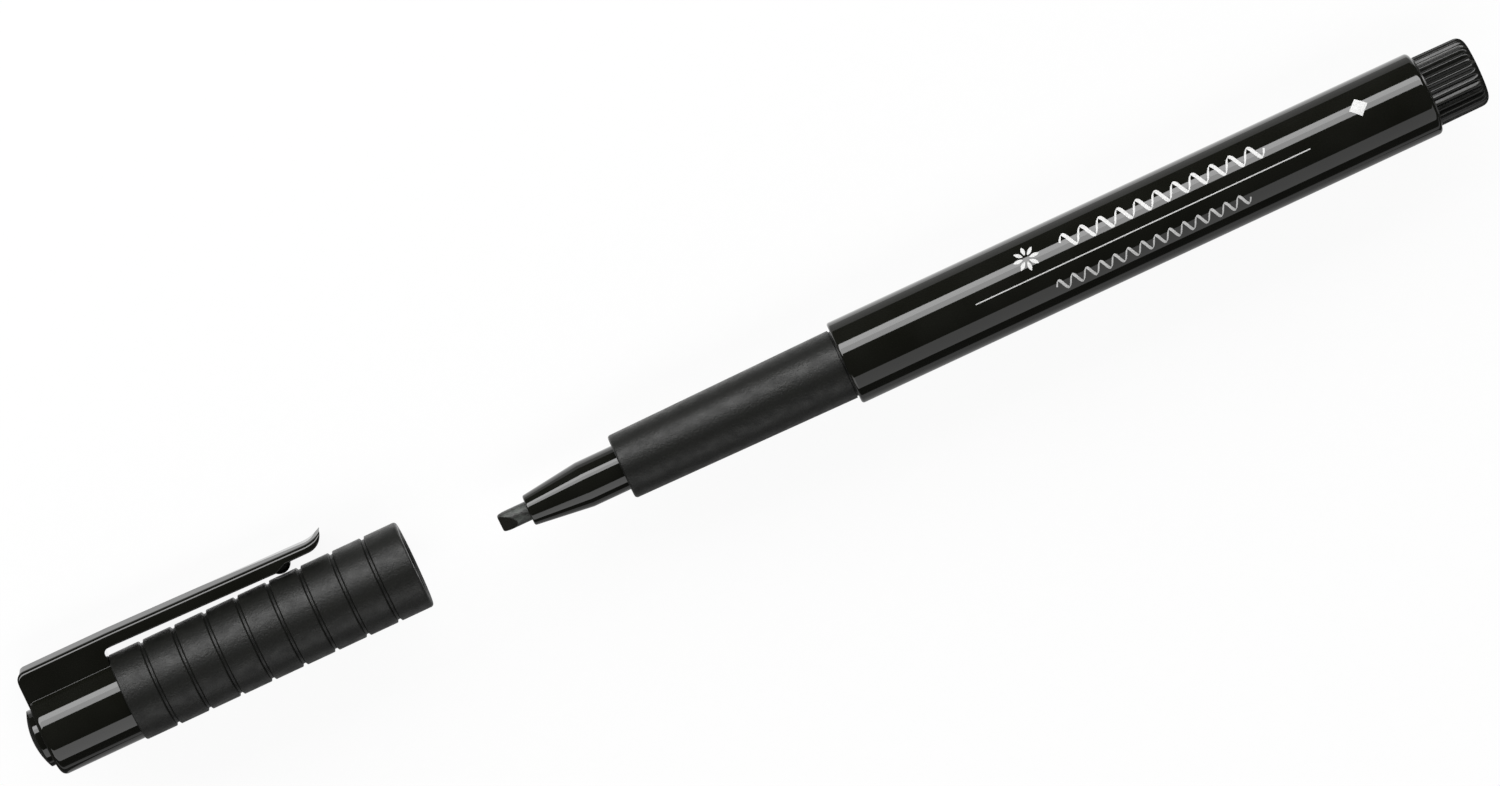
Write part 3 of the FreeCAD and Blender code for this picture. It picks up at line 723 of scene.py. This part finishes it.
def make_sleeve(material):
    corners = [(SLEEVE_START, SOCKET_R), (SLEEVE_START, SLEEVE_R, SLEEVE_END_ROUND)]
    for middle in np.linspace(SLEEVE_START + GROOVE_FIRST, SLEEVE_END - GROOVE_LAST, GROOVE_COUNT):
        top, bottom = GROOVE_WIDTH / 2, GROOVE_FLOOR / 2
        floor = SLEEVE_R - GROOVE_DEPTH
        corners.append((middle - top, SLEEVE_R, GROOVE_ROUND))
        corners.append((middle - bottom, floor, GROOVE_FLOOR_ROUND))
        corners.append((middle + bottom, floor, GROOVE_FLOOR_ROUND))
        corners.append((middle + top, SLEEVE_R, GROOVE_ROUND))
    corners += [
        (SLEEVE_END, SLEEVE_R, SLEEVE_MOUTH_ROUND),
        (SLEEVE_END, LIP_R + LIP_CHAMFER),
        (SLEEVE_END - LIP_CHAMFER, LIP_R),
        (SLEEVE_END - LIP_LENGTH, LIP_R),
        (SLEEVE_END - LIP_LENGTH, SLEEVE_BORE_R),
        (SLEEVE_START + SOCKET_LENGTH, SLEEVE_BORE_R),
        (SLEEVE_START + SOCKET_LENGTH, SOCKET_R),
    ]
    outline = rounded(corners)
    middle = ARM_END - BALL_FROM_TIP
    outline = divided(outline, DIMPLE_STEP, middle - GROOVE_PITCH / 2, middle + GROOVE_PITCH / 2)
    size = (DIMPLE_HALF_WIDTH**2 + DIMPLE_DEPTH**2) / (2 * DIMPLE_DEPTH)
    height = SLEEVE_R - DIMPLE_DEPTH + size

    def dimple(along, out, angle):
        """A ball-shaped hollow under the clip's ball."""
        level = height * np.cos(angle)
        inside = level**2 - height**2 - (along - middle) ** 2 + size**2
        hollow = level - np.sqrt(np.maximum(inside, 0))
        hit = (inside > 0) & (level > 0) & (out > SOCKET_R + TINY)
        return np.where(hit, np.minimum(out, hollow), out)

    piece = turned("cap_sleeve_tube", outline, CLIP_UP, around=SLEEVE_AROUND, shape=dimple)
    return finish_piece(piece, "cap_sleeve", "cap", "grained_black", material)


def eased(full, size, depth):
    """A reach that grows to its full value over a rounded end, at a depth behind that end."""
    short = np.clip(size - depth, 0, size)
    return full - size + math.sqrt(size**2 - short**2)


def arc_points(centre, size, start, end, steps=ARC_STEPS):
    """Points of an arc from one angle to another, in degrees, across and up."""
    turn = np.radians(np.linspace(start, end, steps + 1))
    return [(centre[0] + size * math.cos(a), centre[1] + size * math.sin(a)) for a in turn]


def mirrored(half):
    """A whole section from its right half, which runs from top to bottom on or beside the middle line."""
    left = [(-across, height) for across, height in reversed(half) if across > TINY]
    return half + left


def crown_section(tube, side, face):
    """The crown's outline with the clip's root standing on it, starting from the top of the root."""
    fillet_side = side + CLIP_ROOT_FILLET
    fillet_reach = tube + CLIP_ROOT_FILLET
    fillet_height = math.sqrt(fillet_reach**2 - fillet_side**2)
    end_angle = math.degrees(math.atan2(fillet_height, fillet_side))
    half = [(0, face), (side / 2, face), (side - CLIP_EDGE - HOLD, face)]
    half += arc_points((side - CLIP_EDGE, face - CLIP_EDGE), CLIP_EDGE, 90, 0)
    half += [(side, face - CLIP_EDGE - HOLD), (side, (face + fillet_height) / 2)]
    half += [(side, fillet_height + HOLD)]
    half += arc_points((fillet_side, fillet_height), CLIP_ROOT_FILLET, 180, 180 + end_angle)
    half += arc_points((0, 0), tube, end_angle, -90, CROWN_STEPS)[1:]
    return mirrored(half)


def ring_like(section, out):
    """A round ring whose points lie at the same angles as a section's."""
    angles = [math.atan2(across, height) for across, height in section]
    return [(out * math.sin(a), out * math.cos(a)) for a in angles]


def in_place(along, section):
    """A section's points on the cap, with its middle line towards the clip."""
    across = X_AXIS.cross(CLIP_UP)
    return [Vector((along, 0, 0)) + across * side + CLIP_UP * height for side, height in section]


def make_crown(material):
    """The glossy end of the cap, with a socket for the end button and the root of the clip on top."""
    full = crown_section(CROWN_R, CLIP_SIDE, CLIP_FACE)
    rings = [
        (CROWN_START + STEM_LENGTH, ring_like(full, 0)),
        (CROWN_START + STEM_LENGTH, ring_like(full, STEM_R)),
        (CROWN_START, ring_like(full, STEM_R)),
    ]
    for depth in CLIP_ROOT_ROUND * (1 - np.cos(np.linspace(0, math.pi / 2, 2 * ARC_STEPS))):
        tube = eased(CROWN_R, CROWN_END_ROUND, depth)
        side = eased(CLIP_SIDE, CLIP_END_EDGE, depth)
        face = eased(CLIP_FACE, CLIP_ROOT_ROUND, depth)
        rings.append((CROWN_START + depth, crown_section(tube, side, face)))
    rings += [
        (SLEEVE_START, full),
        (SLEEVE_START, ring_like(full, SOCKET_R)),
        (CROWN_END, ring_like(full, SOCKET_R)),
        (CROWN_END, ring_like(full, CROWN_BORE_R)),
        (CROWN_START + CROWN_END_WALL, ring_like(full, CROWN_BORE_R)),
        (CROWN_START + CROWN_END_WALL, ring_like(full, 0)),
    ]
    piece = skin("cap_crown_shell", np.array([in_place(*ring) for ring in rings]), closed=False)
    return finish_piece(piece, "cap_crown", "cap", "gloss_black", material)


def clip_top(along):
    """Height of the clip's outer face, which curves up to the tip."""
    start = ARM_END - CLIP_FLARE
    if along > start:
        rise = CLIP_TIP - CLIP_FACE_AT_FLARE
        curve = (CLIP_FLARE**2 + rise**2) / (2 * rise)
        return CLIP_FACE_AT_FLARE + curve - math.sqrt(curve**2 - (along - start) ** 2)
    return float(np.interp(along, [ARM_START, start], [CLIP_FACE, CLIP_FACE_AT_FLARE]))


def clip_bottom(along):
    """Height of the clip's underside, away from the ball."""
    slot_end = SLEEVE_START + CLIP_SLOT_ROUND
    if along < slot_end:
        return CLIP_UNDER - CLIP_SLOT_ROUND + math.sqrt(CLIP_SLOT_ROUND**2 - (slot_end - along) ** 2)
    start = ARM_END - CLIP_UNDER_CURVE
    if along > start:
        rise = CLIP_TIP - CLIP_UNDER_PAST_BALL
        curve = (CLIP_UNDER_CURVE**2 + rise**2) / (2 * rise)
        return CLIP_UNDER_PAST_BALL + curve - math.sqrt(curve**2 - (along - start) ** 2)
    ball = ARM_END - BALL_FROM_TIP
    places = [slot_end, ARM_START, ball - BALL_R / 2, ball + BALL_R / 2]
    return float(np.interp(along, places, [CLIP_UNDER, CLIP_UNDER, CLIP_UNDER_AT_BALL, CLIP_UNDER_PAST_BALL]))


def with_ball(along, across, height):
    """The underside's height with the ball added to it."""
    middle = ARM_END - BALL_FROM_TIP
    inside = BALL_R**2 - (along - middle) ** 2 - across**2
    if inside <= 0:
        return height
    return min(height, BALL_HEIGHT - math.sqrt(inside))


def clip_section(along):
    """The clip's rounded cross-section at a place along it."""
    top, bottom = clip_top(along), clip_bottom(along)
    corner = max(along - (ARM_END - CLIP_TIP_CORNER), 0)
    side = CLIP_SIDE - CLIP_TIP_CORNER + math.sqrt(CLIP_TIP_CORNER**2 - corner**2)
    edge = min(CLIP_EDGE, (top - bottom) * CLIP_EDGE_SHARE)
    growing = float(np.clip(along - SLEEVE_START, TINY, 1))
    under = min(CLIP_UNDER_EDGE, (top - bottom) * CLIP_UNDER_SHARE) * growing
    half = [(0, top), (side / 2, top), (side - edge - HOLD, top)]
    half += arc_points((side - edge, top - edge), edge, 90, 0)
    half += [(side, (top - edge + bottom + under) / 2)]
    half += arc_points((side - under, bottom + under), under, 0, -90)
    flat = side - under
    for across in np.linspace(flat, 0, CLIP_UNDER_STEPS)[1:]:
        half.append((across, with_ball(along, across, bottom)))
    return mirrored(half)


def make_clip(material):
    """The springy arm, as one mesh from the cap's slot to its tip, not attached to any body."""
    ball = ARM_END - BALL_FROM_TIP
    fixed = SLEEVE_START + CLIP_SLOT_ROUND
    root_turn = np.linspace(0, math.pi / 2, ROOT_RINGS)
    flare_turn = np.linspace(0, math.pi / 2, FLARE_RINGS)[1:]
    places = np.concatenate([
        SLEEVE_START + CLIP_SLOT_ROUND * (1 - np.cos(root_turn)),
        np.linspace(fixed, ball - BALL_R, ARM_RINGS)[1:],
        np.linspace(ball - BALL_R, ball + BALL_R, BALL_RINGS)[1:],
        np.linspace(ball + BALL_R, ARM_END - CLIP_FLARE, TAIL_RINGS)[1:],
        ARM_END - CLIP_FLARE + (CLIP_FLARE - CLIP_TIP_CUT) * np.sin(flare_turn),
    ])
    rings = np.array([in_place(place, clip_section(place)) for place in places])
    piece = skin("clip_arm_blade", rings, closed=False)
    finish_piece(piece, "clip_arm", None, "gloss_black", material)
    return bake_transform(piece)


def make_button(material):
    """A low dome pressed into the end of the cap."""
    curve = (BUTTON_R**2 + BUTTON_DOME**2) / (2 * BUTTON_DOME)
    widest = math.asin(BUTTON_R / curve)
    turn = np.linspace(0, widest * DOME_SHARE, DOME_RINGS)
    dome = np.column_stack([BUTTON_START + curve * (1 - np.cos(turn)), curve * np.sin(turn)])
    edge = [
        tuple(dome[-1]),
        (BUTTON_START + BUTTON_DOME, BUTTON_R, BUTTON_EDGE_ROUND),
        (CROWN_START, BUTTON_R),
        (CROWN_START, STEM_R),
        (BUTTON_END, STEM_R),
        (BUTTON_END, 0),
    ]
    outline = np.vstack([dome[:-1], rounded(edge)])
    piece = turned("end_button_dome", outline, around=BUTTON_AROUND, closed=False)
    return finish_piece(piece, "end_button", "cap", "gloss_black", material)


# ------------------------------------------------------------ the print on the barrel


def ribbon(points, halves):
    """The two edges of a flat stroke whose half width changes along it."""
    points = np.array(points)
    run = np.gradient(points, axis=0)
    run /= np.linalg.norm(run, axis=1)[:, None]
    side = np.column_stack([-run[:, 1], run[:, 0]]) * np.array(halves)[:, None]
    return points + side, points - side


def pen_stroke(points, width):
    """A stroke of a broad nib: wide across the nib's edge and thin along it."""
    run = np.gradient(np.array(points), axis=0)
    heading = np.arctan2(run[:, 1], run[:, 0])
    halves = (width * np.abs(np.sin(heading - NIB_HOLD)) + STROKE_THIN) / 2
    return ribbon(points, halves)


def wave(start, end, middle, height, count, width):
    """A row of even waves, as in a writing exercise."""
    share = np.linspace(0, 1, count * WAVE_POINTS)
    up = middle + height * np.sin(share * count * 2 * math.pi)
    return pen_stroke(np.column_stack([start + (end - start) * share, up]), width)


def rule(start, end, middle, width):
    """A straight stroke along the barrel."""
    line = np.column_stack([np.linspace(start, end, RULE_POINTS), np.full(RULE_POINTS, middle)])
    return ribbon(line, np.full(RULE_POINTS, width / 2))


def petal(centre, turn, inner, outer, width):
    """A leaf-shaped stroke of a rosette."""
    share = np.linspace(STROKE_STUB, 1 - STROKE_STUB, PETAL_POINTS)
    reach = inner + (outer - inner) * share
    points = np.column_stack([centre[0] + reach * math.cos(turn), centre[1] + reach * math.sin(turn)])
    return ribbon(points, width / 2 * np.sin(share * math.pi) ** PETAL_FULLNESS)


def lozenge(centre, size):
    """The square dot that a broad nib makes."""
    share = np.linspace(-LOZENGE_REACH, LOZENGE_REACH, LOZENGE_POINTS)
    points = np.column_stack([centre[0] + size / 2 * share, np.full(LOZENGE_POINTS, centre[1])])
    return ribbon(points, size / 2 * (1 - np.abs(share)))


def on_barrel(along, around, out):
    """Points on the barrel, at distances round it from the line that faces the viewer."""
    return placed(along, np.full_like(along, out), -around / BARREL_R, VIEW)


def make_print(material):
    """Generic ornament where the marker carries its print: strokes, a rule and a square dot."""
    strokes = [rule(start=17.9, end=63.8, middle=-0.3, width=0.14)]
    for turn in np.arange(PETAL_COUNT) * 2 * math.pi / PETAL_COUNT:
        strokes.append(petal((26.0, 2.35), turn, inner=0.45, outer=1.75, width=0.5))
    strokes.append(wave(start=30.6, end=58.6, middle=2.3, height=0.95, count=11, width=0.42))
    strokes.append(wave(start=28.0, end=54.6, middle=-2.7, height=0.72, count=14, width=0.3))
    strokes.append(lozenge((71.4, 1.9), size=2.5))
    points, faces = [], []
    for left, right in strokes:
        first, count = len(points), len(left)
        lanes = [left + (right - left) * share for share in np.linspace(0, 1, PRINT_LANES + 1)]
        around = [(lane, BARREL_R + PRINT_DEPTH) for lane in lanes]
        around += [(lane, BARREL_R - PRINT_DEPTH) for lane in reversed(lanes)]
        for lane, out in around:
            points.extend(on_barrel(lane[:, 0], lane[:, 1], out))
        starts = [first + count * k for k in range(len(around))]
        for near, far in zip(starts, starts[1:] + starts[:1]):
            faces += [[near + k, near + k + 1, far + k + 1, far + k] for k in range(count - 1)]
        faces += [list(starts), [corner + count - 1 for corner in starts]]
    piece = mesh_object("barrel_print", points, faces)
    piece.data.materials.append(material)
    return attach(piece, "pen")


# ------------------------------------------------------------ stage, lights and camera


def make_floor():
    """A pale floor that turns up into a backdrop far away."""
    angle = np.arange(FLOOR_SIDES) * 2 * math.pi / FLOOR_SIDES
    floor_level = cad_box[0].z
    points = [(0, 0, floor_level)]
    faces = []
    for reach, level in FLOOR_RINGS:
        points += [(reach * math.cos(a), reach * math.sin(a), floor_level + level) for a in angle]
    for near in range(FLOOR_SIDES):
        far = (near + 1) % FLOOR_SIDES
        faces.append([0, 1 + near, 1 + far])
        for ring in range(len(FLOOR_RINGS) - 1):
            first = 1 + FLOOR_SIDES * ring
            after = first + FLOOR_SIDES
            faces.append([first + near, after + near, after + far, first + far])
    mesh = bpy.data.meshes.new("floor")
    mesh.from_pydata(points, [], faces)
    mesh.shade_smooth()
    floor = bpy.data.objects.new("floor", mesh)
    bpy.context.scene.collection.objects.link(floor)
    floor.data.materials.append(floor_paper())
    floor.visible_glossy = False


def floor_paper():
    """White paper that gives most of its own pale light, and all of it further out."""
    made = Finish("floor_paper")
    grain = made.noise(2.0)
    made.colour(made.blend(made.span(grain, 0.0, 1.0), (0.86, 0.86, 0.86), (0.90, 0.90, 0.90)))
    made.roughness(made.span(grain, 0.8, 0.95))
    reach = made.add("VectorMath", {"operation": "LENGTH"}, Vector=made.place).outputs["Value"]
    glow = made.add("Emission", Color=(1, 1, 1, 1), Strength=1.0)
    mix = made.add("MixShader")
    made.feed(mix.inputs[0], made.span(reach, PAPER_GLOW, 1.0, PAPER_NEAR, PAPER_FAR))
    made.feed(mix.inputs[1], made.shader.outputs[0])
    made.feed(mix.inputs[2], glow.outputs[0])
    made.feed(made.tree.nodes["Material Output"].inputs["Surface"], mix.outputs[0])
    return made.material


def toward(degrees):
    """A direction turned from the view towards the upper side of the picture, square to the pen."""
    turn = math.radians(degrees)
    return VIEW * math.cos(turn) + IMAGE_UP * math.sin(turn)


def facing(direction, place):
    """A lamp's place and turn: it looks back along the direction, with its long side along the pen."""
    upward = direction.cross(X_AXIS)
    turn = Matrix((X_AXIS, upward, direction)).transposed().to_4x4()
    return Matrix.Translation(place) @ turn


def strip_light(name, start, end, radiance, ends=STRIP_ENDS, diffuse=True):
    """A long soft light over an arc of directions from the view, and between two places along the pen."""
    lamp = bpy.data.lights.new(name, "AREA")
    lamp.shape = "RECTANGLE"
    lamp.size = (ends[1] - ends[0]) * MM
    lamp.size_y = 2 * STRIP_DISTANCE * math.tan(math.radians(end - start) / 2)
    lamp.energy = radiance * math.pi * lamp.size * lamp.size_y
    light = bpy.data.objects.new(name, lamp)
    bpy.context.scene.collection.objects.link(light)
    direction = toward((start + end) / 2)
    middle = X_AXIS * (ends[0] + ends[1]) / 2 * MM
    light.matrix_world = facing(direction, middle + direction * STRIP_DISTANCE)
    light.visible_camera = False
    light.visible_diffuse = diffuse


def floor_glow(name, near, far, radiance):
    """The bright paper beside the marker, as the glossy pieces see it, from near to far across the floor."""
    lamp = bpy.data.lights.new(name, "AREA")
    lamp.shape = "RECTANGLE"
    lamp.size = (PLUG_END - BUTTON_START) * MM
    lamp.size_y = (far - near) * MM
    lamp.energy = radiance * math.pi * lamp.size * lamp.size_y
    light = bpy.data.objects.new(name, lamp)
    bpy.context.scene.collection.objects.link(light)
    height = cad_box[0].z + GLOW_LIFT * MM
    place = Vector(((PLUG_END + BUTTON_START) / 2 * MM, (near + far) / 2 * MM, height))
    light.matrix_world = facing(-Z_AXIS, place)
    light.visible_camera = False
    light.visible_diffuse = False


def make_lights():
    """Long soft lamps, given by their arc in degrees from the view, and the glow of the paper."""
    strip_light("key_upper", 24, 38, 6.2)
    strip_light("key_lower", 38, 52, 8.2)
    strip_light("fill_strip_rear", -83, -46, 1.1, ends=(FILL_SPLIT, STRIP_ENDS[1]))
    strip_light("fill_strip_front", -83, -46, 1.85, ends=(STRIP_ENDS[0], FILL_SPLIT))
    strip_light("back_strip", -123, -111, 0.42, diffuse=False)
    floor_glow("floor_glow_near", -6, 7, 1.3)
    floor_glow("floor_glow_far", 7, 12.5, 0.55)
    floor_glow("floor_glow_back", -300, -6, 0.35)
    world = bpy.data.worlds.new("studio")
    world.use_nodes = True
    background = world.node_tree.nodes["Background"]
    background.inputs["Color"].default_value = (WORLD_GREY, WORLD_GREY, WORLD_GREY, 1)
    bpy.context.scene.world = world


def make_camera():
    """A long lens from the upper side of the marker, rolled so that the pen rises to the right."""
    roll = math.radians(PEN_RISE)
    right = X_AXIS * math.cos(roll) - IMAGE_UP * math.sin(roll)
    upward = X_AXIS * math.sin(roll) + IMAGE_UP * math.cos(roll)
    lens = bpy.data.cameras.new("camera")
    lens.lens = LENS
    lens.sensor_width = SENSOR
    camera = bpy.data.objects.new("camera", lens)
    bpy.context.scene.collection.objects.link(camera)
    turn = Matrix((right, upward, VIEW)).transposed().to_4x4()
    camera.matrix_world = Matrix.Translation(MIDDLE + VIEW * DISTANCE) @ turn
    bpy.context.scene.camera = camera
    bpy.context.scene.view_settings.view_transform = "Standard"


# ------------------------------------------------------------ the whole scene


def dress(node, material):
    """A CAD node keeps its shape and gets a fuller material."""
    for slot in frame["nodes"][node].material_slots:
        slot.material = material


gloss = gloss_black()
grained = grained_black()
plug = plug_black()
make_barrel(gloss)
make_rear_plug(plug)
make_plug_fins(plug)
make_grip(grained)
make_nose(gloss)
make_nib(nib_fibre(), wet_ink())
make_print(white_ink())
make_sleeve(grained)
make_crown(gloss)
make_clip(gloss)
make_button(gloss)
dress("inner_cap", liner_plastic())
dress("ink_reservoir", filler_fibre())
film_material = film()
dress("reservoir_wrap", film_material)
dress("breather_tube", film_material)
make_floor()
make_lights()
make_camera()
